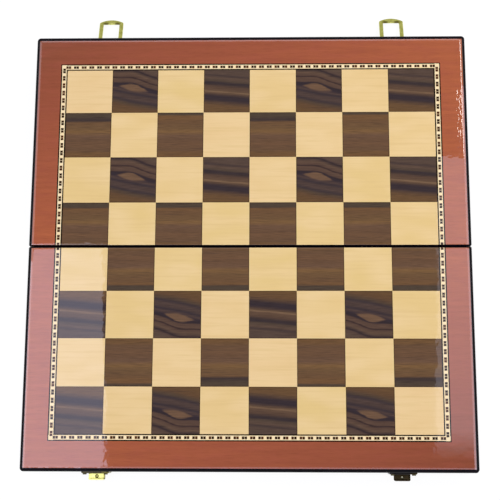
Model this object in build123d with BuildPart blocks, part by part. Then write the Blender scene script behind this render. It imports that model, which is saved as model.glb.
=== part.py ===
from build123d import *
from math import cos, radians, sin
import os

# A folding chess box, laid open with its playing face up. Millimetres, +Z up.
# The origin is on the fold line, in the plane of the rims that rest on the table.
# Each half is drawn in its own frame: x along the fold, y outwards from the fold.

# Chequer, band and border of the playing face
square = 32.0
columns = 8
fold_row = 29.5
full_rows = 2
end_row = 30.9
line_width = 0.6
strip_width = 3.5
side_border = 16.1
end_border = 17.4
veneer_thickness = 0.5

# Black lacquered edge left around the veneers
side_margin = 1.5
end_margin = 2.3
fold_margin = 0.9
edge_bevel = 0.6
corner_radius = 2.4
fold_corner_radius = 1.2

# Case
fold_clearance = 0.2
rim_clearance = 0.2
panel_thickness = 3.0
rail_height = 22.0
rail_thickness = 9.0
rim_chamfer = 0.4
lining_thickness = 0.8

# Butt hinges let into the rims of the two fold rails
hinge_x = 88.0
leaf_length = 25.0
leaf_thickness = 0.6
leaf_inset = 1.0
knuckle_radius = 1.25
knuckle_count = 3
knuckle_gap = 0.1
hinge_pin_radius = 0.6
hinge_relief = 0.35
leaf_relief = 0.3
mortise_clearance = 0.1
turning_clearance = 0.05
brad_head_radius = 1.45
brad_head_height = 0.35
brad_shank_width = 1.2
brad_length = 9.0
brad_spacing = 15.0

# Latches: a bail on the far half drops over a tongue on the near half
latch_x = 101.6
pivot_height = 8.0
pivot_stand_off = 2.0
bail_reach = 22.4
bail_rise = 2.6
bail_thickness = 1.0
bail_leg_width = 2.8
bail_bar_width = 3.8
bail_droop = 19.4
bail_corner_radius = 1.2
bail_edge_bevel = 0.3
window_corner_radius = 0.8
bail_eye_radius = 1.8
bail_pin_radius = 0.8
bail_side_gap = 0.15
eye_clearance = 0.3
knuckle_wall_gap = 0.1
latch_plate_width = 18.5
bail_plate_thickness = 1.0
bail_plate_height = 9.4
catch_plate_thickness = 1.2
catch_plate_foot = 4.0
catch_plate_height = 14.0
plate_corner_radius = 1.5
plate_bevel = 0.5
tongue_width = 11.0
tongue_side_gap = 0.3
tongue_thickness = 1.0
tongue_height = 8.0
tongue_reach = 5.7
tongue_lip = 1.6
tongue_bend = 0.9
tongue_corner_radius = 1.2
dimple_radius = 1.2
dimple_depth = 0.4
dimple_reach = 3.0
nail_head_radius = 1.3
nail_head_height = 0.8
nail_shank_width = 1.1
nail_length = 6.0
shank_taper = 3.0
bail_nail_spacing = 7.2
catch_nail_spacing = 14.0
nail_edge_distance = 2.2

# Worked out from the sizes above
half_field = columns * square / 2 - line_width / 2
strip_start = half_field + line_width
strip_end = strip_start + strip_width
border_start = strip_end + line_width
veneer_end = border_start + side_border
half_length = veneer_end + side_margin

fold_face = fold_clearance / 2
veneer_near = fold_face + fold_margin
field_end = veneer_near + fold_row + full_rows * square + end_row
end_strip_start = field_end + line_width
end_strip_end = end_strip_start + strip_width
end_border_start = end_strip_end + line_width
end_veneer_end = end_border_start + end_border
outer_face = end_veneer_end + end_margin

top = rail_height + panel_thickness
veneer_floor = top - veneer_thickness
hinge_axis_z = -rim_clearance / 2
leaf_width = rail_thickness - leaf_inset
leaf_start = knuckle_radius + leaf_relief
hinge_bore_radius = hinge_pin_radius + turning_clearance
knuckle_length = (leaf_length - (knuckle_count - 1) * knuckle_gap) / knuckle_count
knuckle_pitch = knuckle_length + knuckle_gap

pivot_y = outer_face + pivot_stand_off
window_half_width = tongue_width / 2 + tongue_side_gap
bail_half_width = window_half_width + bail_leg_width
window_end = bail_reach - bail_bar_width
bail_bore_radius = bail_pin_radius + turning_clearance
catch_plate_top = catch_plate_foot + catch_plate_height
bail_plate_foot = pivot_height + bail_eye_radius + eye_clearance
neck = window_half_width - bail_side_gap
plate_half = latch_plate_width / 2

row_edges = [veneer_near, veneer_near + fold_row]
row_edges += [row_edges[1] + square * (n + 1) for n in range(full_rows)]
row_edges += [field_end]
column_edges = [square * (n - columns / 2) for n in range(columns + 1)]
column_edges[0] = -half_field
column_edges[-1] = half_field

far_plane = Plane.XY
near_plane = Plane(origin=(0, 0, 0), x_dir=(-1, 0, 0), z_dir=(0, 0, 1))
halves = {"far": far_plane, "near": near_plane}
# Seen from the near side, the near half's own -x side is on the right
side_names = {"far": {-1: "left", 1: "right"}, "near": {-1: "right", 1: "left"}}

os.makedirs("parts", exist_ok=True)


def save(built, name):
    """Label a finished piece and write it under its own name."""
    built.part.label = name
    export_step(built.part, f"parts/{name}.step")


def span(x0, x1, y0, y1):
    """A rectangle between two corners, in the frame of the sketch."""
    with Locations(((x0 + x1) / 2, (y0 + y1) / 2)):
        return Rectangle(x1 - x0, y1 - y0)


def case_outline():
    """Plan of one half: corners rounded more at the outer wall than at the fold."""
    with BuildSketch(mode=Mode.PRIVATE) as plan:
        span(-half_length, half_length, fold_face, outer_face)
        corners = plan.vertices().group_by(Axis.Y)
        fillet(corners[-1], corner_radius)
        fillet(plan.vertices().group_by(Axis.Y)[0], fold_corner_radius)
    return plan.sketch


def u_strip(inner_x, outer_x, inner_y, outer_y):
    """A strip along three sides of the face, open at the fold."""
    span(-outer_x, outer_x, veneer_near, outer_y)
    with Locations((0, (veneer_near + inner_y) / 2)):
        Rectangle(2 * inner_x, inner_y - veneer_near, mode=Mode.SUBTRACT)


def section_plane(plane, x, y, z):
    """Upright plane across a half at x: sketch x points outwards and sketch y up."""
    return Plane(plane.from_local_coords((x, y, z)), x_dir=plane.y_dir, z_dir=plane.x_dir)


def wall_plane(plane, x, z):
    """Plane of a half's outer wall, seen from outside: sketch y points up."""
    return Plane(plane.from_local_coords((x, outer_face, z)), x_dir=-plane.x_dir, z_dir=plane.y_dir)


def shanks(surface, places, width, length, mode):
    """Square nail shanks that narrow away from a surface, cut from or added to the open part."""
    with BuildSketch(surface) as ends:
        with Locations(*places):
            Rectangle(width, width)
    extrude(ends.sketch, amount=length, taper=shank_taper, mode=mode)


def brads(surface, places, mode):
    """Flat-headed brads flush with a surface, cut from or added to the open part."""
    with BuildSketch(surface) as heads:
        with Locations(*places):
            Circle(brad_head_radius)
    extrude(heads.sketch, amount=brad_head_height, mode=mode)
    shanks(surface.offset(brad_head_height), places, brad_shank_width,
           brad_length - brad_head_height, mode)


outline = case_outline()

# Hinge, latch and nail places, in the frame of a half
hinge_places = [-hinge_x, hinge_x]
brad_places = [
    (x + dx, fold_face + leaf_width / 2 + leaf_start / 2)
    for x in hinge_places
    for dx in (-brad_spacing / 2, brad_spacing / 2)
]
latch_places = [-latch_x, latch_x]
nail_height = {
    "far": bail_plate_foot + bail_plate_height / 2,
    "near": catch_plate_top - nail_edge_distance,
}
nail_spacing = {"far": bail_nail_spacing, "near": catch_nail_spacing}
plate_thickness = {"far": bail_plate_thickness, "near": catch_plate_thickness}
nail_places = {
    half: [
        (x + side * nail_spacing[half] / 2, nail_height[half])
        for x in latch_places
        for side in (-1, 1)
    ]
    for half in halves
}

for half, plane in halves.items():
    names = side_names[half]

    # Panel under the playing face, with the shallow recess that holds the veneers
    with BuildPart() as panel:
        with BuildSketch(plane.offset(rail_height)):
            add(outline)
        extrude(amount=panel_thickness)
        top_edges = panel.faces().sort_by(Axis.Z)[-1].edges()
        chamfer(top_edges, edge_bevel)
        with BuildSketch(plane.offset(veneer_floor)):
            span(-veneer_end, veneer_end, veneer_near, end_veneer_end)
        extrude(amount=veneer_thickness, mode=Mode.SUBTRACT)
    save(panel, f"{half}_panel")

    # Veneers let into the recess, flush with the lacquered edge
    with BuildPart() as border:
        with BuildSketch(plane.offset(veneer_floor)):
            u_strip(border_start, veneer_end, end_border_start, end_veneer_end)
        extrude(amount=veneer_thickness)
    save(border, f"{half}_border_veneer")

    with BuildPart() as lines:
        with BuildSketch(plane.offset(veneer_floor)):
            u_strip(strip_end, border_start, end_strip_end, end_border_start)
        extrude(amount=veneer_thickness)
        with BuildSketch(plane.offset(veneer_floor)):
            u_strip(half_field, strip_start, field_end, end_strip_start)
        extrude(amount=veneer_thickness)
    save(lines, f"{half}_band_lines")

    with BuildPart() as band:
        with BuildSketch(plane.offset(veneer_floor)):
            u_strip(strip_start, strip_end, end_strip_start, end_strip_end)
        extrude(amount=veneer_thickness)
    save(band, f"{half}_band")

    # The outermost left square of the far half is light, and so is the near right one
    for shade, parity in (("light", 1), ("dark", 0)):
        with BuildPart() as squares:
            for row in range(len(row_edges) - 1):
                for column in range(columns):
                    if (row + column) % 2 == parity:
                        with BuildSketch(plane.offset(veneer_floor)):
                            span(*column_edges[column:column + 2], *row_edges[row:row + 2])
                        extrude(amount=veneer_thickness)
        save(squares, f"{half}_{shade}_squares")

    # Four mitred rails under the panel
    inner_x = half_length - rail_thickness
    inner_fold = fold_face + rail_thickness
    inner_outer = outer_face - rail_thickness
    left_trapezium = [
        (-half_length, fold_face),
        (-inner_x, inner_fold),
        (-inner_x, inner_outer),
        (-half_length, outer_face),
    ]
    rails = {
        "fold_rail": [
            (-half_length, fold_face),
            (half_length, fold_face),
            (inner_x, inner_fold),
            (-inner_x, inner_fold),
        ],
        "outer_rail": [
            (-half_length, outer_face),
            (-inner_x, inner_outer),
            (inner_x, inner_outer),
            (half_length, outer_face),
        ],
        f"{names[-1]}_rail": left_trapezium,
        f"{names[1]}_rail": [(-x, y) for x, y in reversed(left_trapezium)],
    }
    for rail_name, corners in rails.items():
        with BuildPart() as rail:
            with BuildSketch(plane):
                with BuildLine():
                    Polyline(*corners, close=True)
                make_face()
                add(outline, mode=Mode.INTERSECT)
            extrude(amount=rail_height)
            foot_edges = rail.faces().sort_by(Axis.Z)[0].edges()
            wall_edge = foot_edges.filter_by(GeomType.LINE).sort_by(SortBy.LENGTH)[-1]
            chamfer([wall_edge] + foot_edges.filter_by(GeomType.CIRCLE), rim_chamfer)
            if rail_name == "fold_rail":
                # Room for the knuckles, and a mortise for each leaf
                for x in hinge_places:
                    with BuildSketch(section_plane(plane, x, 0, hinge_axis_z)):
                        Circle(knuckle_radius + hinge_relief)
                    extrude(amount=leaf_length / 2 + hinge_relief, both=True, mode=Mode.SUBTRACT)
                    with BuildSketch(plane):
                        span(x - leaf_length / 2 - mortise_clearance,
                             x + leaf_length / 2 + mortise_clearance,
                             0, fold_face + leaf_width + mortise_clearance)
                    extrude(amount=leaf_thickness, mode=Mode.SUBTRACT)
                brads(plane, brad_places, Mode.SUBTRACT)
            if rail_name == "outer_rail":
                # Nail holes for the latch plates
                heads = wall_plane(plane, 0, 0).offset(plate_thickness[half])
                shanks(heads, nail_places[half], nail_shank_width, -nail_length, Mode.SUBTRACT)
        save(rail, f"{half}_{rail_name}")

    # Cloth lining on the inside of the panel
    with BuildPart() as lining:
        with BuildSketch(plane.offset(rail_height - lining_thickness)):
            span(-inner_x, inner_x, inner_fold, inner_outer)
        extrude(amount=lining_thickness)
    save(lining, f"{half}_lining")

# Two butt hinges: the far leaf has the outer knuckles and the near leaf the middle one
for side, x in (("left", -hinge_x), ("right", hinge_x)):
    for half, plane in halves.items():
        own_x = plane.to_local_coords(Vector(x, 0, 0)).X
        own_knuckles = range(0, knuckle_count, 2) if half == "far" else range(1, knuckle_count, 2)
        with BuildPart() as leaf:
            with BuildSketch(plane):
                span(own_x - leaf_length / 2, own_x + leaf_length / 2,
                     leaf_start, fold_face + leaf_width)
            extrude(amount=leaf_thickness)
            for knuckle in own_knuckles:
                knuckle_x = own_x + (knuckle - (knuckle_count - 1) / 2) * knuckle_pitch
                with BuildSketch(section_plane(plane, knuckle_x, 0, hinge_axis_z)):
                    Circle(knuckle_radius)
                    span(0, leaf_start, -hinge_axis_z, leaf_thickness - hinge_axis_z)
                    Circle(hinge_bore_radius, mode=Mode.SUBTRACT)
                extrude(amount=knuckle_length / 2, both=True)
            brads(plane, [place for place in brad_places if place[0] * own_x > 0], Mode.SUBTRACT)
        save(leaf, f"{side}_hinge_{half}_leaf")

    with BuildPart() as hinge_pin:
        with BuildSketch(section_plane(far_plane, x, 0, hinge_axis_z)):
            Circle(hinge_pin_radius)
        extrude(amount=leaf_length / 2, both=True)
    save(hinge_pin, f"{side}_hinge_pin")

# Hinge brads, driven up into the rims
for half, plane in halves.items():
    with BuildPart() as hinge_brads:
        brads(plane, brad_places, Mode.ADD)
    save(hinge_brads, f"hinge_brads_{half}")

# Latches
droop = radians(bail_droop)
bail_up = (0, sin(droop), cos(droop))
shoulder = bail_reach - bail_rise
tongue_tip = tongue_reach - tongue_thickness / 2
tongue_top = tongue_height + tongue_thickness / 2
for side, x in (("left", -latch_x), ("right", latch_x)):
    # Bail plate on the far wall, with one knuckle between the legs of the bail
    wall = wall_plane(far_plane, x, 0)
    with BuildPart() as bail_plate:
        with BuildSketch(wall) as plate_face:
            span(-plate_half, plate_half, bail_plate_foot, bail_plate_foot + bail_plate_height)
            fillet(plate_face.vertices(), plate_corner_radius)
        extrude(amount=bail_plate_thickness)
        chamfer(bail_plate.faces().sort_by(Axis.Y)[-1].edges(), plate_bevel)
        with BuildSketch(wall):
            span(-neck, neck, pivot_height, bail_plate_foot + plate_corner_radius)
        extrude(amount=bail_plate_thickness)
        with BuildSketch(section_plane(far_plane, x, pivot_y, pivot_height)):
            Circle(pivot_stand_off - knuckle_wall_gap)
        extrude(amount=neck, both=True)
        with BuildSketch(section_plane(far_plane, x, pivot_y, pivot_height)):
            Circle(bail_pin_radius)
        extrude(amount=neck, both=True, mode=Mode.SUBTRACT)
        heads = wall_plane(far_plane, 0, 0).offset(bail_plate_thickness)
        own_nails = [place for place in nail_places["far"] if place[0] * x < 0]
        shanks(heads, own_nails, nail_shank_width, -nail_length, Mode.SUBTRACT)
    save(bail_plate, f"{side}_bail_plate")

    # Stamped bail, lying outwards with its tip near the table
    bail_plane = Plane((x, pivot_y, pivot_height), x_dir=(1, 0, 0), z_dir=bail_up)
    with BuildPart() as bail:
        with BuildSketch(bail_plane) as frame:
            with BuildLine():
                Polyline((-bail_half_width, shoulder), (-bail_half_width, 0),
                         (bail_half_width, 0), (bail_half_width, shoulder))
                ThreePointArc((-bail_half_width, shoulder), (0, bail_reach), (bail_half_width, shoulder))
            make_face()
            fillet(frame.vertices().sort_by(Axis.Y)[-2:], bail_corner_radius)
            with BuildSketch(mode=Mode.PRIVATE) as window:
                span(-window_half_width, window_half_width, -bail_eye_radius, window_end)
                fillet(window.vertices().sort_by(Axis.Y)[-2:], window_corner_radius)
            add(window.sketch, mode=Mode.SUBTRACT)
        extrude(amount=bail_thickness / 2, both=True)
        # The die rounds the edges of the face that it enters, which shows when the case is open
        upper_face = bail.faces().sort_by(Axis(bail_plane.origin, bail_plane.z_dir))[-1]
        chamfer(upper_face.edges(), bail_edge_bevel)
        for leg in (-1, 1):
            leg_x = x + leg * (window_half_width + bail_leg_width / 2)
            with BuildSketch(section_plane(far_plane, leg_x, pivot_y, pivot_height)):
                Circle(bail_eye_radius)
            extrude(amount=bail_leg_width / 2, both=True)
        with BuildSketch(section_plane(far_plane, x, pivot_y, pivot_height)):
            Circle(bail_bore_radius)
        extrude(amount=bail_half_width, both=True, mode=Mode.SUBTRACT)
    save(bail, f"{side}_bail")

    with BuildPart() as bail_pin:
        with BuildSketch(section_plane(far_plane, x, pivot_y, pivot_height)):
            Circle(bail_pin_radius)
        extrude(amount=bail_half_width, both=True)
    save(bail_pin, f"{side}_bail_pin")

    # Catch plate on the near wall, with its tongue bent out and up
    own_x = near_plane.to_local_coords(Vector(x, 0, 0)).X
    wall = wall_plane(near_plane, own_x, 0)
    with BuildPart() as catch_plate:
        with BuildSketch(wall) as plate_face:
            span(-plate_half, plate_half, catch_plate_foot, catch_plate_top)
            fillet(plate_face.vertices(), plate_corner_radius)
        extrude(amount=catch_plate_thickness)
        chamfer(catch_plate.faces().sort_by(Axis.Y)[0].edges(), plate_bevel)
        with BuildSketch(section_plane(near_plane, own_x, outer_face, 0)):
            with BuildLine():
                FilletPolyline(
                    (catch_plate_thickness / 2, tongue_height),
                    (tongue_tip, tongue_height),
                    (tongue_tip, tongue_height + tongue_lip),
                    radius=tongue_bend,
                )
            trace(line_width=tongue_thickness)
        extrude(amount=tongue_width / 2, both=True)
        # Round the outer corners of the tongue in plan
        with BuildSketch(near_plane.offset(catch_plate_foot)):
            with Locations((own_x, outer_face + tongue_reach / 2)):
                Rectangle(tongue_width, tongue_reach)
                with BuildSketch(mode=Mode.PRIVATE) as kept:
                    Rectangle(tongue_width, tongue_reach)
                    fillet(kept.vertices().sort_by(Axis.Y)[-2:], tongue_corner_radius)
                add(kept.sketch, mode=Mode.SUBTRACT)
        extrude(amount=catch_plate_height, mode=Mode.SUBTRACT)
        with BuildSketch(near_plane.offset(tongue_top)):
            with Locations((own_x, outer_face + dimple_reach)):
                Circle(dimple_radius)
        extrude(amount=-dimple_depth, mode=Mode.SUBTRACT)
        heads = wall_plane(near_plane, 0, 0).offset(catch_plate_thickness)
        own_nails = [place for place in nail_places["near"] if place[0] * own_x < 0]
        shanks(heads, own_nails, nail_shank_width, -nail_length, Mode.SUBTRACT)
    save(catch_plate, f"{side}_catch_plate")

# Flat-headed nails with square shanks, through the latch plates
for half, name in (("far", "bail_plate_nails"), ("near", "catch_plate_nails")):
    heads = wall_plane(halves[half], 0, 0).offset(plate_thickness[half])
    with BuildPart() as nails:
        with BuildSketch(heads):
            with Locations(*nail_places[half]):
                Circle(nail_head_radius)
        extrude(amount=nail_head_height)
        shanks(heads, nail_places[half], nail_shank_width, -nail_length, Mode.ADD)
    save(nails, name)
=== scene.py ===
import math
import bpy
from mathutils import Matrix, Vector


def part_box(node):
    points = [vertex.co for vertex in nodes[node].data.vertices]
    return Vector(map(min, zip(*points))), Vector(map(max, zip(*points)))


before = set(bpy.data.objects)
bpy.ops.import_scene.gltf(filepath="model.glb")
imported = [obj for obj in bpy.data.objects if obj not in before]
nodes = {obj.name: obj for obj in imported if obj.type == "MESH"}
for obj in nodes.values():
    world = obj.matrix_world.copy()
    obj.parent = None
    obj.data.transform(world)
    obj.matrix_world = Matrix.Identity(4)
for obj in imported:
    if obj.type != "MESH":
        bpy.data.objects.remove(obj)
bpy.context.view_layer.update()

mm = 0.001


# Every material is a Principled shader with a few nodes in front of it

def newMaterial(name, settings):
    material = bpy.data.materials.new(name)
    material.use_nodes = True
    shader = material.node_tree.nodes["Principled BSDF"]
    for socket, value in settings.items():
        shader.inputs[socket].default_value = value
    return material, material.node_tree, shader


def addNode(tree, kind, inputs=None, **options):
    made = tree.nodes.new("ShaderNode" + kind)
    for option, value in options.items():
        setattr(made, option, value)
    for socket, value in (inputs or {}).items():
        if isinstance(value, bpy.types.NodeSocket):
            tree.links.new(value, made.inputs[socket])
        else:
            made.inputs[socket].default_value = value
    return made


def calc(tree, operation, *values):
    return addNode(tree, "Math", dict(enumerate(values)), operation=operation).outputs[0]


def total(tree, *values):
    result = values[0]
    for value in values[1:]:
        result = calc(tree, "ADD", result, value)
    return result


def product(tree, *values):
    result = values[0]
    for value in values[1:]:
        result = calc(tree, "MULTIPLY", result, value)
    return result


def minus(tree, first, second):
    return calc(tree, "SUBTRACT", first, second)


def apart(tree, first, second):
    return calc(tree, "ABSOLUTE", minus(tree, first, second))


def slantLength(tree, first, second):
    return calc(tree, "SQRT", total(tree, product(tree, first, first), product(tree, second, second)))


def aboutMiddle(tree, value):
    # a value that runs from 0 to 1, as noise does, counted from its middle
    return minus(tree, value, 0.5)


def spread(tree, value, start, end, low=0.0, high=1.0):
    # start and end of the value become low and high, and it stays between them
    ends = {"Value": value, "From Min": start, "From Max": end, "To Min": low, "To Max": high}
    return addNode(tree, "MapRange", ends).outputs[0]


def within(tree, value, limits):
    # 0 outside the four limits, rising to 1 between the middle two
    start, full, last, end = limits
    return product(tree, spread(tree, value, start, full), spread(tree, value, end, last))


def blendColours(tree, share, first, second, mode="MIX"):
    # sockets 6 and 7 and output 2 are the colour ones
    mix = addNode(tree, "Mix", {0: share, 6: first, 7: second}, data_type="RGBA", blend_type=mode)
    return mix.outputs[2]


def linear(level):
    # a screen value of 0-255 to the linear one that shaders use
    share = level / 255
    return ((share + 0.055) / 1.055) ** 2.4 if level > 10 else share / 12.92


def colour(red, green, blue):
    return (linear(red), linear(green), linear(blue), 1)


def grey(value):
    return (value, value, value, 1)


def ramp(tree, value, stops):
    made = addNode(tree, "ValToRGB", {0: value})
    elements = made.color_ramp.elements
    while len(elements) < len(stops):
        elements.new(0.5)
    for element, (place, shade) in zip(elements, stops):
        element.position = place
        element.color = shade
    return made.outputs[0]


def greyRamp(tree, value, stops):
    return ramp(tree, value, [(place, grey(level)) for place, level in stops])


def places(tree, turn=0.0):
    # object coordinates in millimetres, turned about Z for the near half
    here = addNode(tree, "TexCoord").outputs["Object"]
    scale = (1 / mm, 1 / mm, 1 / mm)
    return addNode(tree, "Mapping", {"Vector": here, "Rotation": (0, 0, turn), "Scale": scale}).outputs[0]


def split(tree, vector):
    return addNode(tree, "SeparateXYZ", {0: vector}).outputs[0:3]


def noise(tree, vector, scale, detail):
    return addNode(tree, "TexNoise", {"Vector": vector, "Scale": scale, "Detail": detail}).outputs[0]


def grain(tree, vector, figure, roughness=0.55):
    # noise drawn out along X, as the grain of a veneer runs; the scale is in repeats per mm
    drawn = addNode(tree, "Mapping", {"Vector": vector, "Scale": figure["scale"]}).outputs[0]
    settings = {"Vector": drawn, "Scale": 1.0, "Detail": figure["detail"], "Roughness": roughness}
    return addNode(tree, "TexNoise", settings).outputs[0]


def grainTones(tree, vector, figure):
    return greyRamp(tree, grain(tree, vector, figure), figure["tones"])


def addBump(tree, shader, height, socket="Normal"):
    # the height is in millimetres
    bump = addNode(tree, "Bump", {"Height": height, "Strength": 1.0, "Distance": mm})
    tree.links.new(bump.outputs[0], shader.inputs[socket])


# Thick lacquer: a clear coat that is a little wavy and falls away at the edges of each half, all in mm
lacquerLook = {
    "halfLength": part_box("far_panel")[1].x / mm,
    "outer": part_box("far_panel")[1].y / mm,
    "fold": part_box("far_panel")[0].y / mm,
    "outerEdge": {"start": 3.3, "slope": 0.165, "steepStart": 1.6, "steepSlope": 0.7},
    "foldEdge": {"start": 1.5, "slope": 0.33, "steepStart": 0.9, "steepSlope": 0.7},
    "softness": 0.35,
    "waves": {"height": 0.03, "scale": 0.035, "detail": 2.0},
    "ripples": {"height": 0.014, "scale": 0.22, "detail": 1.0},
    "runs": {
        "height": 0.21, "scale": (0.8, 0.24, 1), "detail": 1.0,
        "fromEdge": (3.1, 4.4, 6.4, 8.2), "along": (64.0, 76.0, 109.0, 118.0),
    },
}
coat = {
    "Coat Weight": 1.0, "Coat Roughness": 0.02, "Coat IOR": 1.45,
    "Roughness": 0.6, "Specular IOR Level": 0.0,
}


def edgeDistances(tree, vector):
    # from the nearer side, the outer end and the fold of the half
    x, y = split(tree, vector)[:2]
    fromSide = minus(tree, lacquerLook["halfLength"], calc(tree, "ABSOLUTE", x))
    fromOuter = minus(tree, lacquerLook["outer"], y)
    fromFold = minus(tree, y, lacquerLook["fold"])
    return fromSide, fromOuter, fromFold


def lacquer(tree, shader, vector):
    look = lacquerLook

    def fallen(distance, edge):
        # a gentle slope towards the edge, then a steep one
        toGentle = minus(tree, edge["start"], distance)
        toSteep = minus(tree, edge["steepStart"], distance)
        gentle = calc(tree, "SMOOTH_MAX", toGentle, 0.0, look["softness"])
        steep = calc(tree, "SMOOTH_MAX", toSteep, 0.0, look["softness"])
        return total(tree, product(tree, gentle, -edge["slope"]), product(tree, steep, -edge["steepSlope"]))

    fromSide, fromOuter, fromFold = edgeDistances(tree, vector)
    waves = noise(tree, vector, look["waves"]["scale"], look["waves"]["detail"])
    ripples = noise(tree, vector, look["ripples"]["scale"], look["ripples"]["detail"])
    # the coat has run a little beside the right edge of the far half
    runsLook = look["runs"]
    boardX, boardY = split(tree, places(tree))[:2]
    fromRight = minus(tree, look["halfLength"], boardX)
    beside = within(tree, fromRight, runsLook["fromEdge"])
    along = within(tree, boardY, runsLook["along"])
    runs = aboutMiddle(tree, grain(tree, vector, runsLook))
    height = total(
        tree,
        fallen(fromSide, look["outerEdge"]),
        fallen(fromOuter, look["outerEdge"]),
        fallen(fromFold, look["foldEdge"]),
        product(tree, waves, look["waves"]["height"]),
        product(tree, ripples, look["ripples"]["height"]),
        product(tree, runs, beside, along, runsLook["height"]),
    )
    addBump(tree, shader, height, "Coat Normal")


print("Finishes: veneers")

# The squares of the far half, in mm: the left edge of the first column, and the edge of the first full row
chequer = {"square": 32.0, "firstColumn": -128.0, "firstRow": 30.5}

mahoganyLook = {
    "tones": [
        (0.0, colour(138, 76, 54)), (0.33, colour(154, 84, 60)),
        (0.7, colour(166, 91, 63)), (1.0, colour(176, 98, 65)),
    ],
    "halfLength": 150.0,
    "pink": colour(162, 85, 68),
    "pore": colour(110, 54, 42),
    "streaks": {"scale": (0.02, 0.42, 1), "detail": 3.0, "tones": [(0.3, 0.92), (0.7, 1.06)]},
    "patches": {"scale": (0.05, 0.16, 1), "detail": 3.0, "tones": [(0.45, 0.0), (0.7, 0.4)]},
    "pores": {"scale": (0.12, 3.2, 1), "detail": 2.0, "tones": [(0.52, 0.0), (0.75, 0.36)]},
    "coatIor": 1.64,
    "lap": {"outer": 2.05, "fold": 1.0, "blur": 0.12, "colour": colour(14, 9, 10)},
}


def makeMahogany(name, turn):
    look = mahoganyLook
    material, tree, shader = newMaterial(name, {**coat, "Coat IOR": look["coatIor"]})
    vector = places(tree, turn)
    x, y = split(tree, vector)[:2]
    # the sheet is darkest at the outer left corner of its half, and lighter to the right and the fold
    leftness = spread(tree, x, -look["halfLength"], look["halfLength"], 1.0, 0.0)
    farness = spread(tree, y, 0.0, look["halfLength"])
    ground = ramp(tree, minus(tree, 1.0, product(tree, leftness, farness)), look["tones"])
    patched = blendColours(tree, grainTones(tree, vector, look["patches"]), ground, look["pink"])
    toned = blendColours(tree, 1.0, patched, grainTones(tree, vector, look["streaks"]), "MULTIPLY")
    wood = blendColours(tree, grainTones(tree, vector, look["pores"]), toned, look["pore"])
    # the black of the edge laps a little over the veneer
    lap = look["lap"]
    fromSide, fromOuter, fromFold = edgeDistances(tree, vector)
    fromFold = total(tree, fromFold, lap["outer"] - lap["fold"])
    fromEdge = calc(tree, "MINIMUM", calc(tree, "MINIMUM", fromSide, fromOuter), fromFold)
    inLap = spread(tree, fromEdge, lap["outer"] - lap["blur"], lap["outer"] + lap["blur"], 1.0, 0.0)
    tree.links.new(blendColours(tree, inLap, wood, lap["colour"]), shader.inputs["Base Color"])
    lacquer(tree, shader, vector)
    return material


mapleLook = {
    "ground": colour(228, 199, 134),
    "sheet": colour(234, 202, 149),
    "blotch": colour(238, 210, 158),
    "grainDark": colour(220, 188, 128),
    "blotches": {"scale": (0.03, 0.07, 1), "detail": 1.0, "tones": [(0.35, 0.0), (0.65, 0.6)]},
    "broad": {"scale": (0.025, 0.55, 1), "detail": 3.0, "tones": [(0.5, 0.0), (0.75, 0.5)]},
    "fine": {"scale": (0.08, 2.2, 1), "detail": 3.0, "tones": [(0.5, 0.0), (0.8, 0.3)]},
}


def makeMaple(name, turn):
    look = mapleLook
    material, tree, shader = newMaterial(name, coat)
    vector = places(tree, turn)
    x, y = split(tree, vector)[:2]
    # each square is cut from another sheet
    column = calc(tree, "FLOOR", calc(tree, "DIVIDE", x, chequer["square"]))
    row = calc(tree, "FLOOR", calc(tree, "DIVIDE", minus(tree, y, chequer["firstRow"]), chequer["square"]))
    cell = addNode(tree, "CombineXYZ", {0: column, 1: row}).outputs[0]
    sheetTone = addNode(tree, "TexWhiteNoise", {"Vector": cell}).outputs[0]
    sheet = blendColours(tree, sheetTone, look["ground"], look["sheet"])
    base = blendColours(tree, grainTones(tree, vector, look["blotches"]), sheet, look["blotch"])
    lined = blendColours(tree, grainTones(tree, vector, look["broad"]), base, look["grainDark"])
    wood = blendColours(tree, grainTones(tree, vector, look["fine"]), lined, look["grainDark"])
    tree.links.new(wood, shader.inputs["Base Color"])
    lacquer(tree, shader, vector)
    return material


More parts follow.
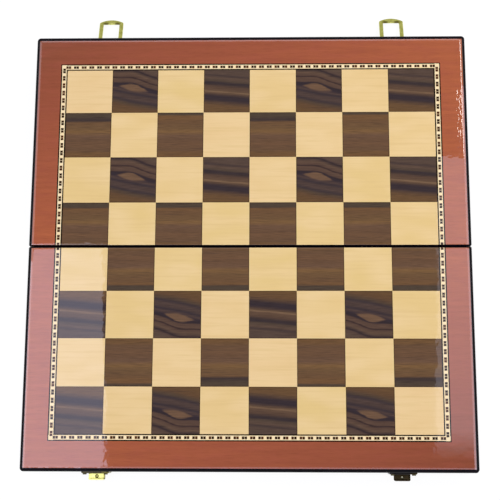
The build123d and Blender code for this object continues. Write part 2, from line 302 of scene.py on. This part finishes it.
# The walnut sheets repeat: an eye with the grain bent round it, a slanting pale streak, and two plain
# squares with a darker band along the far side. Heights in a square run from 0 at the fold to 1.
walnutLook = {
    "repeatColumns": 4,
    "repeatRows": 2,
    "wander": {"height": 0.05, "scale": (0.04, 0.8, 1), "detail": 4.0},
    "fibre": colour(60, 48, 46),
    "fibres": {"scale": (0.05, 1.1, 1), "detail": 2.0, "tones": [(0.52, 0.0), (0.74, 0.4)]},
    "fine": {"scale": (0.12, 2.6, 1), "detail": 2.0, "tones": [(0.3, 0.80), (0.7, 1.14)]},
    "rim": {"start": 0.225, "end": 0.675, "colour": colour(58, 38, 24), "share": 0.75},
    "eye": {
        "x": 0.46, "y": 0.55, "slant": 0.20, "reach": 0.30, "rise": 0.085, "fall": 0.025, "softness": 0.03,
        "colour": colour(112, 86, 66), "halfHeight": 0.040, "blur": 0.012, "drop": 0.012,
        "tip": 0.30, "tipFade": (0.26, 0.45),
        "tones": [
            (0.00, colour(104, 78, 52)), (0.13, colour(98, 73, 52)), (0.21, colour(84, 68, 55)),
            (0.27, colour(64, 54, 55)), (0.33, colour(82, 66, 60)), (0.39, colour(78, 63, 58)),
            (0.44, colour(60, 51, 54)), (0.49, colour(80, 64, 59)), (0.54, colour(56, 47, 52)),
            (0.59, colour(54, 45, 48)), (0.62, colour(88, 68, 58)), (0.69, colour(94, 73, 61)),
            (0.715, colour(58, 45, 44)), (0.745, colour(88, 68, 58)), (0.81, colour(98, 77, 63)),
            (0.86, colour(72, 58, 53)), (0.885, colour(54, 44, 46)), (0.93, colour(88, 70, 61)),
            (1.00, colour(92, 75, 63)),
        ],
    },
    "streak": {
        "y": 0.455, "slant": 0.09, "palest": 0.485,
        "tones": [
            (0.00, colour(106, 80, 52)), (0.17, colour(104, 78, 54)), (0.23, colour(88, 68, 54)),
            (0.29, colour(60, 50, 52)), (0.37, colour(56, 47, 51)), (0.41, colour(72, 58, 54)),
            (0.45, colour(94, 73, 58)), (0.485, colour(122, 97, 74)), (0.51, colour(98, 76, 60)),
            (0.60, colour(88, 68, 56)), (0.645, colour(64, 53, 51)), (0.69, colour(58, 49, 51)),
            (0.73, colour(80, 66, 56)), (0.80, colour(94, 75, 63)), (0.85, colour(72, 59, 55)),
            (0.90, colour(88, 71, 61)), (1.00, colour(86, 70, 61)),
        ],
    },
    "plain": [
        (0.00, colour(112, 83, 54)), (0.10, colour(110, 82, 55)), (0.16, colour(103, 78, 58)),
        (0.30, colour(110, 82, 60)), (0.36, colour(104, 78, 58)), (0.48, colour(108, 82, 63)),
        (0.57, colour(122, 92, 60)), (0.64, colour(110, 84, 58)), (0.78, colour(108, 81, 57)),
        (0.88, colour(114, 84, 56)), (1.00, colour(112, 82, 56)),
    ],
    "band": {
        "colour": colour(64, 54, 52), "upper": colour(78, 67, 56), "change": (0.84, 0.92),
        "wide": 0.80, "thin": 0.94, "foldRow": 0.88, "blur": 0.02, "share": 0.95,
    },
}


def makeWalnut(name, turn):
    look = walnutLook
    material, tree, shader = newMaterial(name, coat)
    vector = places(tree, turn)
    x, y = split(tree, vector)[:2]
    wander = product(tree, aboutMiddle(tree, grain(tree, vector, look["wander"])), look["wander"]["height"])
    columns = calc(tree, "DIVIDE", minus(tree, x, chequer["firstColumn"]), chequer["square"])
    rows = calc(tree, "DIVIDE", minus(tree, y, chequer["firstRow"]), chequer["square"])
    across = calc(tree, "FRACT", columns)
    height = calc(tree, "FRACT", rows)
    inColumns = calc(tree, "FRACT", calc(tree, "DIVIDE", columns, look["repeatColumns"]))
    inRows = calc(tree, "FRACT", calc(tree, "DIVIDE", rows, look["repeatRows"]))
    isWide = calc(tree, "LESS_THAN", inColumns, 1 / look["repeatColumns"])
    isStreak = calc(tree, "GREATER_THAN", inColumns, 1 - 1 / look["repeatColumns"])
    isFigured = calc(tree, "LESS_THAN", inRows, 1 / look["repeatRows"])
    isFoldRow = calc(tree, "LESS_THAN", y, chequer["firstRow"])

    # the grain bends far out above the eye and a little below it
    eye = look["eye"]
    off = minus(tree, across, eye["x"])
    level = total(tree, height, -eye["y"], product(tree, off, eye["slant"]))
    reached = calc(tree, "DIVIDE", off, eye["reach"])
    hump = calc(tree, "EXPONENT", product(tree, reached, reached, -1.0))
    side = calc(tree, "DIVIDE", level, total(tree, calc(tree, "ABSOLUTE", level), eye["softness"]))
    push = product(tree, hump, spread(tree, side, -1.0, 1.0, -eye["fall"], eye["rise"]))
    grainHeight = total(tree, minus(tree, level, push), eye["y"], wander)
    bent = ramp(tree, grainHeight, eye["tones"])
    # the eye is a thin lens with pointed ends
    fromMiddle = apart(tree, grainHeight, eye["y"] - eye["drop"])
    lens = spread(tree, hump, eye["tip"], 1.0, 0.0, eye["halfHeight"])
    inLens = spread(tree, minus(tree, fromMiddle, lens), eye["blur"], -eye["blur"])
    inEye = product(tree, inLens, spread(tree, hump, *eye["tipFade"]))
    eyeFigure = blendColours(tree, inEye, bent, eye["colour"])

    streak = look["streak"]
    tilt = product(tree, aboutMiddle(tree, across), streak["slant"])
    streakHeight = total(tree, height, tilt, wander, streak["palest"] - streak["y"])
    streakFigure = ramp(tree, streakHeight, streak["tones"])

    # plain squares: the band is wide, thin, or between the two beside the fold
    band = look["band"]
    plainHeight = total(tree, height, wander)
    upperEdge = spread(tree, isWide, 0.0, 1.0, band["thin"], band["wide"])
    edge = spread(tree, isFoldRow, 0.0, 1.0, upperEdge, band["foldRow"])
    fromBand = minus(tree, plainHeight, edge)
    inBand = spread(tree, fromBand, -band["blur"], band["blur"], 0.0, band["share"])
    bandTone = blendColours(tree, spread(tree, plainHeight, *band["change"]), band["colour"], band["upper"])
    plain = blendColours(tree, inBand, ramp(tree, plainHeight, look["plain"]), bandTone)

    figured = blendColours(tree, isStreak, eyeFigure, streakFigure)
    sheet = blendColours(tree, isFigured, plain, figured)
    # short dark fibres break up the figure
    fibred = blendColours(tree, grainTones(tree, vector, look["fibres"]), sheet, look["fibre"])
    toned = blendColours(tree, 1.0, fibred, grainTones(tree, vector, look["fine"]), "MULTIPLY")

    # a darker glue line round each square
    rim = look["rim"]
    toColumn = product(tree, calc(tree, "PINGPONG", columns, 0.5), chequer["square"])
    toRow = product(tree, calc(tree, "PINGPONG", rows, 0.5), chequer["square"])
    toLine = calc(tree, "MINIMUM", toColumn, toRow)
    atRim = spread(tree, toLine, rim["start"], rim["end"], rim["share"], 0.0)
    tree.links.new(blendColours(tree, atRim, toned, rim["colour"]), shader.inputs["Base Color"])
    lacquer(tree, shader, vector)
    return material


# Ready-made banding: pairs of small dark dots on a cream strip, cut off at the fold
bandingLook = {
    "cream": colour(250, 230, 186),
    "creamShade": colour(242, 216, 164),
    "shading": [(0.35, 0.0), (0.7, 0.8)],
    "dot": colour(38, 18, 2),
    "dotRed": colour(78, 36, 12),
    "reddening": [(0.45, 0.0), (0.62, 1.0)],
    "patches": {"scale": (0.25, 0.25, 1), "detail": 1.0},
    "pitch": 5.41,
    "spacing": 1.82,
    "dotLength": 1.60,
    "dotWidth": 1.85,
    "sideMiddle": 130.05,
    "endMiddle": 127.75,
    "firstSidePair": 125.3,
    "halfWidth": 1.75,
    "edge": 0.25,
    "edgeColour": colour(40, 32, 18),
    "blur": 0.12,
}


def makeBanding(name, turn):
    look = bandingLook
    material, tree, shader = newMaterial(name, coat)
    vector = places(tree, turn)
    x, y = split(tree, vector)[:2]

    def inside(distance, halfSize):
        return spread(tree, distance, halfSize + look["blur"], halfSize - look["blur"])

    def dots(along, across, middle):
        # along is 0 halfway between two pairs
        place = aboutMiddle(tree, calc(tree, "FRACT", calc(tree, "DIVIDE", along, look["pitch"])))
        fromPair = calc(tree, "ABSOLUTE", product(tree, place, look["pitch"]))
        fromDot = apart(tree, fromPair, look["spacing"] / 2)
        fromMiddle = apart(tree, across, middle)
        return product(tree, inside(fromDot, look["dotLength"] / 2), inside(fromMiddle, look["dotWidth"] / 2))

    sideways = calc(tree, "ABSOLUTE", x)
    sideStart = look["firstSidePair"] + look["pitch"] / 2
    endDots = dots(x, y, look["endMiddle"])
    sideDots = dots(minus(tree, sideStart, y), sideways, look["sideMiddle"])
    inEnd = calc(tree, "LESS_THAN", sideways, look["sideMiddle"] - look["dotWidth"] / 2 - look["blur"])
    inSide = calc(tree, "LESS_THAN", y, sideStart)
    inDot = calc(tree, "MAXIMUM", product(tree, endDots, inEnd), product(tree, sideDots, inSide))
    patches = grain(tree, vector, look["patches"])
    ground = blendColours(tree, greyRamp(tree, patches, look["shading"]), look["cream"], look["creamShade"])
    dot = blendColours(tree, greyRamp(tree, patches, look["reddening"]), look["dot"], look["dotRed"])
    dotted = blendColours(tree, inDot, ground, dot)
    # the strip's own dark edges
    endOff = apart(tree, y, look["endMiddle"])
    sideOff = apart(tree, sideways, look["sideMiddle"])
    off = calc(tree, "MINIMUM", endOff, sideOff)
    atEdge = calc(tree, "GREATER_THAN", off, look["halfWidth"] - look["edge"])
    tree.links.new(blendColours(tree, atEdge, dotted, look["edgeColour"]), shader.inputs["Base Color"])
    lacquer(tree, shader, vector)
    return material


linesLook = {
    "tones": [(0.4, colour(20, 16, 10)), (0.75, colour(40, 32, 20))],
    "wear": {"scale": (0.2, 0.2, 1), "detail": 2.0},
}


def makeLines(name, turn):
    material, tree, shader = newMaterial(name, coat)
    vector = places(tree, turn)
    wear = grain(tree, vector, linesLook["wear"])
    tree.links.new(ramp(tree, wear, linesLook["tones"]), shader.inputs["Base Color"])
    lacquer(tree, shader, vector)
    return material


print("Finishes: lacquer, brass and felt")

# Black lacquer: the walls are a little glossier than the upper edge; wallTop and edgeFoot are heights in mm
blackLook = {
    "tones": [(0.45, colour(9, 7, 13)), (0.8, colour(20, 16, 26))],
    "clouds": {"scale": (0.06, 0.06, 0.2), "detail": 3.0},
    "wallCoat": 0.5,
    "edgeCoat": 0.2,
    "wallTop": 23.0,
    "edgeFoot": 24.3,
}


def makeBlack(name, turn):
    look = blackLook
    material, tree, shader = newMaterial(name, coat)
    vector = places(tree, turn)
    z = split(tree, vector)[2]
    weight = spread(tree, z, look["wallTop"], look["edgeFoot"], look["wallCoat"], look["edgeCoat"])
    tree.links.new(weight, shader.inputs["Coat Weight"])
    clouds = grain(tree, vector, look["clouds"])
    tree.links.new(ramp(tree, clouds, look["tones"]), shader.inputs["Base Color"])
    lacquer(tree, shader, vector)
    return material


brassLook = {
    "bright": {"fresh": colour(216, 216, 124), "dull": colour(170, 170, 84), "roughness": (0.26, 0.40)},
    "aged": {"fresh": colour(110, 102, 66), "dull": colour(64, 60, 48), "roughness": (0.34, 0.48)},
    "tarnish": {"scale": 0.35, "detail": 4.0, "fresh": 0.38, "dull": 0.72, "roughening": (0.35, 0.7)},
    "scratches": {"height": 0.003, "scale": (0.4, 6.0, 2.0), "detail": 2.0},
    "dents": {"height": 0.10, "scale": 0.16, "detail": 1.0},
    # dark patches of painted shade on the bent bar of a bail, beside its inner corners
    "cornerShade": {"narrowing": 0.45, "size": 1.3, "core": 0.52, "share": 0.85, "colour": colour(84, 74, 26)},
}


def makeBrass(kind, shadedCorners=()):
    # the given corners are places, x and y in mm, where dark patches of painted shade darken the brass
    look = {**brassLook, **brassLook[kind]}
    tarnish = look["tarnish"]
    cornerShade = look["cornerShade"]
    scratches = look["scratches"]
    dents = look["dents"]
    material, tree, shader = newMaterial(kind + "Brass", {"Metallic": 1.0})
    vector = places(tree)
    x, y = split(tree, vector)[:2]
    clouds = noise(tree, vector, tarnish["scale"], tarnish["detail"])
    tone = ramp(tree, clouds, [(tarnish["fresh"], look["fresh"]), (tarnish["dull"], look["dull"])])
    # each place gets a dark patch of painted shade
    for cornerX, cornerY in shadedCorners:
        aside = product(tree, minus(tree, x, cornerX), cornerShade["narrowing"])
        away = slantLength(tree, aside, minus(tree, y, cornerY))
        inCornerShade = spread(tree, away, cornerShade["size"], cornerShade["core"], 0.0, cornerShade["share"])
        tone = blendColours(tree, inCornerShade, tone, cornerShade["colour"])
    tree.links.new(tone, shader.inputs["Base Color"])
    roughness = spread(tree, clouds, *tarnish["roughening"], *look["roughness"])
    tree.links.new(roughness, shader.inputs["Roughness"])
    scratched = product(tree, grain(tree, vector, scratches), scratches["height"])
    dented = product(tree, noise(tree, vector, dents["scale"], dents["detail"]), dents["height"])
    addBump(tree, shader, total(tree, scratched, dented))
    return material


# Catch plates: painted shade on the wall plate, painted light on the tongues, painted shade round the dimple.
# Lengths in mm: middle is across the board, front and ringAt are along it from the fold.
catchLook = {
    # left: the tongue has a painted highlight, and the wall plate and the tongue's end have painted shade
    "left": {
        "middle": -101.6, "tongue": colour(255, 250, 142), "wall": colour(86, 80, 58),
        "end": colour(128, 120, 66), "ring": colour(56, 48, 8), "pip": colour(160, 152, 84),
    },
    # right: the tongue is painted dark as a reflection, the wall plate and the tongue's end have painted
    # shade, and the pip is a painted highlight
    "right": {
        "middle": 101.6, "tongue": colour(100, 86, 58), "wall": colour(58, 54, 54),
        "end": colour(74, 64, 40), "ring": colour(60, 48, 14), "pip": colour(255, 250, 205),
    },
    "roughness": 0.28,
    "front": 151.4,
    "frontBlur": 0.2,
    "endStart": 4.1,
    "endBlur": 0.8,
    "endShare": 0.85,
    "ringAt": 153.0,
    "ringOuter": 1.25,
    "ringInner": 0.70,
    "ringBlur": 0.15,
    "ringShare": 0.95,
    "mottle": {"scale": 0.6, "detail": 3.0, "tones": [(0.35, 1.0), (0.7, 0.82)]},
}


def makeCatch(side):
    look = {**catchLook, **catchLook[side]}
    material, tree, shader = newMaterial(side + "Catch", {"Metallic": 1.0, "Roughness": look["roughness"]})
    vector = places(tree)
    x, y = split(tree, vector)[:2]
    across = minus(tree, x, look["middle"])
    outward = calc(tree, "ABSOLUTE", y)
    # the tongue gets a painted highlight or painted reflection, and the plate on the wall gets painted shade
    isTongue = spread(tree, outward, look["front"] - look["frontBlur"], look["front"] + look["frontBlur"])
    body = blendColours(tree, isTongue, look["wall"], look["tongue"])
    # painted shade on the right end of the tongue
    atEnd = spread(tree, across, look["endStart"], look["endStart"] + look["endBlur"], 0.0, look["endShare"])
    endShaded = blendColours(tree, atEnd, body, look["end"])
    # painted shade rings the dimple, with a painted glint in its middle
    away = slantLength(tree, minus(tree, outward, look["ringAt"]), across)
    blur = look["ringBlur"]
    inRing = spread(tree, away, look["ringOuter"] + blur, look["ringOuter"] - blur, 0.0, look["ringShare"])
    inPip = spread(tree, away, look["ringInner"] + blur, look["ringInner"] - blur)
    dimpleShadeAndGlint = blendColours(tree, inPip, look["ring"], look["pip"])
    marked = blendColours(tree, product(tree, inRing, isTongue), endShaded, dimpleShadeAndGlint)
    clouds = noise(tree, vector, look["mottle"]["scale"], look["mottle"]["detail"])
    mottle = greyRamp(tree, clouds, look["mottle"]["tones"])
    tree.links.new(blendColours(tree, 1.0, marked, mottle, "MULTIPLY"), shader.inputs["Base Color"])
    return material


feltLook = {
    "tones": [(0.35, colour(28, 82, 54)), (0.7, colour(44, 108, 74))],
    "pile": {"height": 0.15, "scale": 2.2, "detail": 4.0},
    "surface": {"Roughness": 0.95, "Sheen Weight": 0.4, "Specular IOR Level": 0.1},
}


def makeFelt():
    material, tree, shader = newMaterial("liningFelt", feltLook["surface"])
    pile = feltLook["pile"]
    tufts = noise(tree, places(tree), pile["scale"], pile["detail"])
    tree.links.new(ramp(tree, tufts, feltLook["tones"]), shader.inputs["Base Color"])
    addBump(tree, shader, product(tree, tufts, pile["height"]))
    return material


print("Dressing the frame's pieces")

# where the dark patches of painted shade sit on each bail
bailShadedCorners = {"aside": 4.3, "in": 3.2}  # from the middle of the bar, and from its outer edge


def dress(name, material):
    # a CAD piece keeps its mesh and gets the finish in every one of its slots
    for slot in nodes[name].material_slots:
        slot.material = material


def shadedCornersOf(bail):
    low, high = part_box(bail)
    middle = (low.x + high.x) / 2 / mm
    barY = high.y / mm - bailShadedCorners["in"]
    return [(middle + way * bailShadedCorners["aside"], barY) for way in (-1, 1)]


brightBrass = makeBrass("bright")
agedBrass = makeBrass("aged")
felt = makeFelt()

for half, turn in (("far", 0.0), ("near", math.pi)):
    dress(half + "_border_veneer", makeMahogany(half + "Mahogany", turn))
    dress(half + "_light_squares", makeMaple(half + "Maple", turn))
    dress(half + "_dark_squares", makeWalnut(half + "Walnut", turn))
    dress(half + "_band", makeBanding(half + "Banding", turn))
    dress(half + "_band_lines", makeLines(half + "Lines", turn))
    dress(half + "_lining", felt)
    dress("hinge_brads_" + half, brightBrass)
    black = makeBlack(half + "Black", turn)
    for piece in ("panel", "fold_rail", "outer_rail", "left_rail", "right_rail"):
        dress(half + "_" + piece, black)
for side in ("left", "right"):
    dress(side + "_bail", makeBrass("bright", shadedCornersOf(side + "_bail")))
    dress(side + "_catch_plate", makeCatch(side))
    for piece in ("hinge_far_leaf", "hinge_near_leaf", "hinge_pin"):
        dress(side + "_" + piece, brightBrass)
    for piece in ("bail_plate", "bail_pin"):
        dress(side + "_" + piece, agedBrass)
for nails in ("bail_plate_nails", "catch_plate_nails"):
    dress(nails, agedBrass)

print("Rounding the edges")

# widths in mm and angles in degrees
rounding = {
    "merge": 0.002, "flatAngle": 0.5, "edgeAngle": 28,
    "pieces": [
        {"names": ("far_panel", "near_panel"), "width": 0.35, "steps": 4},
        {"names": ("left_bail", "right_bail"), "width": 0.14, "steps": 2},
        {"names": ("left_bail_plate", "right_bail_plate"), "width": 0.14, "steps": 2},
        {"names": ("left_catch_plate", "right_catch_plate"), "width": 0.12, "steps": 2},
        {"names": ("left_hinge_far_leaf", "right_hinge_far_leaf"), "width": 0.08, "steps": 2},
        {"names": ("left_hinge_near_leaf", "right_hinge_near_leaf"), "width": 0.08, "steps": 2},
    ],
}


def roundEdges(node, width, steps):
    # merge the loose triangles into flat faces first, so that only true edges are rounded
    weld = node.modifiers.new("weld", "WELD")
    weld.merge_threshold = rounding["merge"] * mm
    flat = node.modifiers.new("flat", "DECIMATE")
    flat.decimate_type = "DISSOLVE"
    flat.angle_limit = math.radians(rounding["flatAngle"])
    bevel = node.modifiers.new("bevel", "BEVEL")
    bevel.width = width * mm
    bevel.segments = steps
    bevel.limit_method = "ANGLE"
    bevel.angle_limit = math.radians(rounding["edgeAngle"])
    bevel.harden_normals = False


for pieces in rounding["pieces"]:
    for name in pieces["names"]:
        roundEdges(nodes[name], pieces["width"], pieces["steps"])

print("Setting up the studio")

cameraSetup = {
    "lens": 76.6,
    "sensor": 36,
    "nearest": 0.01,
    "place": (0.01728, -0.1352, 0.73215),
    "forward": (-0.02329, 0.18427, -0.9826),
    "right": (0.99973, 0.00347, -0.02305),
}


def makeCamera(setup):
    forward = Vector(setup["forward"]).normalized()
    right = Vector(setup["right"])
    right = (right - right.dot(forward) * forward).normalized()
    up = right.cross(forward)
    data = bpy.data.cameras.new("photoCamera")
    data.lens = setup["lens"]
    data.sensor_width = setup["sensor"]
    data.clip_start = setup["nearest"]
    camera = bpy.data.objects.new("photoCamera", data)
    bpy.context.scene.collection.objects.link(camera)
    turn = Matrix((right, up, -forward)).transposed()
    camera.matrix_world = Matrix.Translation(setup["place"]) @ turn.to_4x4()
    bpy.context.scene.camera = camera


# White paper: it glows only where the camera or a reflection sees it, and still takes a shadow
floorLook = {
    "size": 8.0,
    "height": -1.4 * mm,
    "white": (0.92, 0.92, 0.925, 1),
    "roughness": 0.9,
    "glow": 0.86,
    "strength": 1.07,
}


def makeFloor(look):
    bpy.ops.object.select_all(action="DESELECT")
    bpy.ops.mesh.primitive_plane_add(size=look["size"], location=(0, 0, look["height"]))
    floor = bpy.context.object
    floor.name = "studioFloor"
    surface = {"Roughness": look["roughness"], "Specular IOR Level": 0.0, "Base Color": look["white"]}
    paper, tree, shader = newMaterial("paper", surface)
    rays = addNode(tree, "LightPath").outputs
    mirrored = calc(tree, "MAXIMUM", rays["Is Glossy Ray"], rays["Is Transmission Ray"])
    seen = calc(tree, "MAXIMUM", rays["Is Camera Ray"], mirrored)
    glow = addNode(tree, "Emission", {"Color": grey(1.0), "Strength": look["strength"]}).outputs[0]
    share = product(tree, seen, look["glow"])
    mixed = addNode(tree, "MixShader", {0: share, 1: shader.outputs[0], 2: glow}).outputs[0]
    tree.links.new(mixed, tree.nodes["Material Output"].inputs["Surface"])
    floor.data.materials.append(paper)


# Soft boxes. The left and right cards stand where the lacquer mirrors them into the camera, and the
# strips further out are what its rounded edges mirror. Sizes and places in metres, rolls in degrees.
softBoxes = {
    "leftCard": {
        "size": (0.287, 0.535), "at": (-0.3491, -0.1360, 0.732), "roll": 2.4,
        "radiance": (2.45, 2.52, 3.3),
    },
    "rightCard": {
        "size": (0.270, 0.406), "at": (0.3690, 0.052, 0.732), "roll": -2.4,
        "radiance": (1.6, 1.62, 1.95), "fadeEnd": 0.09,
    },
    "rightWindow": {"size": (0.18, 0.32), "at": (0.51, 0.48, 0.87), "radiance": (18, 17, 16)},
    "rightStrip": {"size": (0.14, 1.2), "at": (0.62, -0.15, 0.87), "radiance": (2.4, 2.4, 3.1)},
    "leftStrip": {"size": (0.14, 0.80), "at": (-0.674, -0.24, 0.87), "radiance": (3.6, 3.6, 4.6)},
    "leftFarStrip": {"size": (0.14, 0.54), "at": (-0.674, 0.43, 0.87), "radiance": (0.9, 0.9, 1.2)},
    "frontStrip": {"size": (1.4, 0.14), "at": (0, -0.461, 0.90), "radiance": (1.2, 1.2, 1.6)},
    "backStrip": {"size": (1.4, 0.14), "at": (0, 0.87, 0.87), "radiance": (1.6, 1.6, 2.0)},
}


def makeSoftBox(name, box):
    data = bpy.data.lights.new(name, "AREA")
    data.shape = "RECTANGLE"
    data.size, data.size_y = box["size"]
    # a lamp's power spreads over its area and the half sphere that it faces
    strongest = max(box["radiance"])
    data.energy = strongest * math.pi * box["size"][0] * box["size"][1]
    data.color = [part / strongest for part in box["radiance"]]
    if "fadeEnd" in box:
        # the card's near end fades away
        data.use_nodes = True
        tree = data.node_tree
        along = split(tree, addNode(tree, "NewGeometry").outputs["Parametric"])[1]
        faded = spread(tree, along, 0.0, box["fadeEnd"])
        tree.links.new(faded, tree.nodes["Emission"].inputs["Strength"])
    lamp = bpy.data.objects.new(name, data)
    lamp.location = box["at"]
    # every box lies flat and shines straight down
    lamp.rotation_euler = (0, 0, math.radians(box.get("roll", 0)))
    bpy.context.scene.collection.objects.link(lamp)


# The room: dark straight above, where the flat face mirrors it, and bright further down
roomLook = {
    "tones": [(0.0, 0.75), (0.5, 0.95), (0.80, 1.15), (0.87, 1.0), (0.92, 0.10), (1.0, 0.04)],
    "tint": (1.0, 0.985, 0.90),
    "strength": 0.60,
}


def makeRoom(look):
    world = bpy.data.worlds.new("studio")
    bpy.context.scene.world = world
    world.use_nodes = True
    tree = world.node_tree
    background = tree.nodes["Background"]
    upward = split(tree, addNode(tree, "TexCoord").outputs["Generated"])[2]
    red, green, blue = look["tint"]
    tones = [(place, (tone * red, tone * green, tone * blue, 1)) for place, tone in look["tones"]]
    room = ramp(tree, upward, tones)
    # the camera itself sees plain white past the floor
    seen = addNode(tree, "LightPath").outputs["Is Camera Ray"]
    white = grey(1.0 / look["strength"])
    tree.links.new(blendColours(tree, seen, room, white), background.inputs["Color"])
    background.inputs["Strength"].default_value = look["strength"]


makeCamera(cameraSetup)
makeFloor(floorLook)
for name, box in softBoxes.items():
    makeSoftBox(name, box)
makeRoom(roomLook)
bpy.context.scene.view_settings.view_transform = "Standard"

print("Done")
